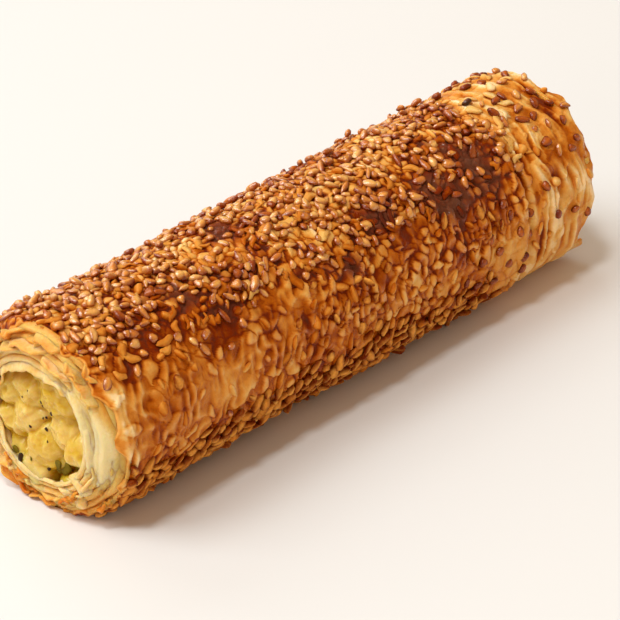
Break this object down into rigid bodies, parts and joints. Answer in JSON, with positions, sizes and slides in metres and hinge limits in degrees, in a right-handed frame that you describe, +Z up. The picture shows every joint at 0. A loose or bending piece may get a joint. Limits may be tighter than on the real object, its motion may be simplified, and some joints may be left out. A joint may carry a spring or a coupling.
{
  "type": "borek roll",
  "caption": "Baked roll of flaky pastry round a potato filling that shows at both open ends, with sesame on its crust. It lies on its flattened underside.",
  "frame": {"origin": "centre of the underside of the roll's box, on the surface it lies on", "axes": "+X along the roll, with the shown open end at -X; +Z up; the shown side faces -Y"},
  "size_m": [0.1518, 0.0446, 0.0426],
  "materials": {
    "crust": "egg-washed, golden to dark brown, semi-gloss",
    "potato": "soft, moist, pale yellow"
  },
  "bodies": {
    "root": {"pastry": "crust", "filling": "potato"}
  },
  "joints": []
}
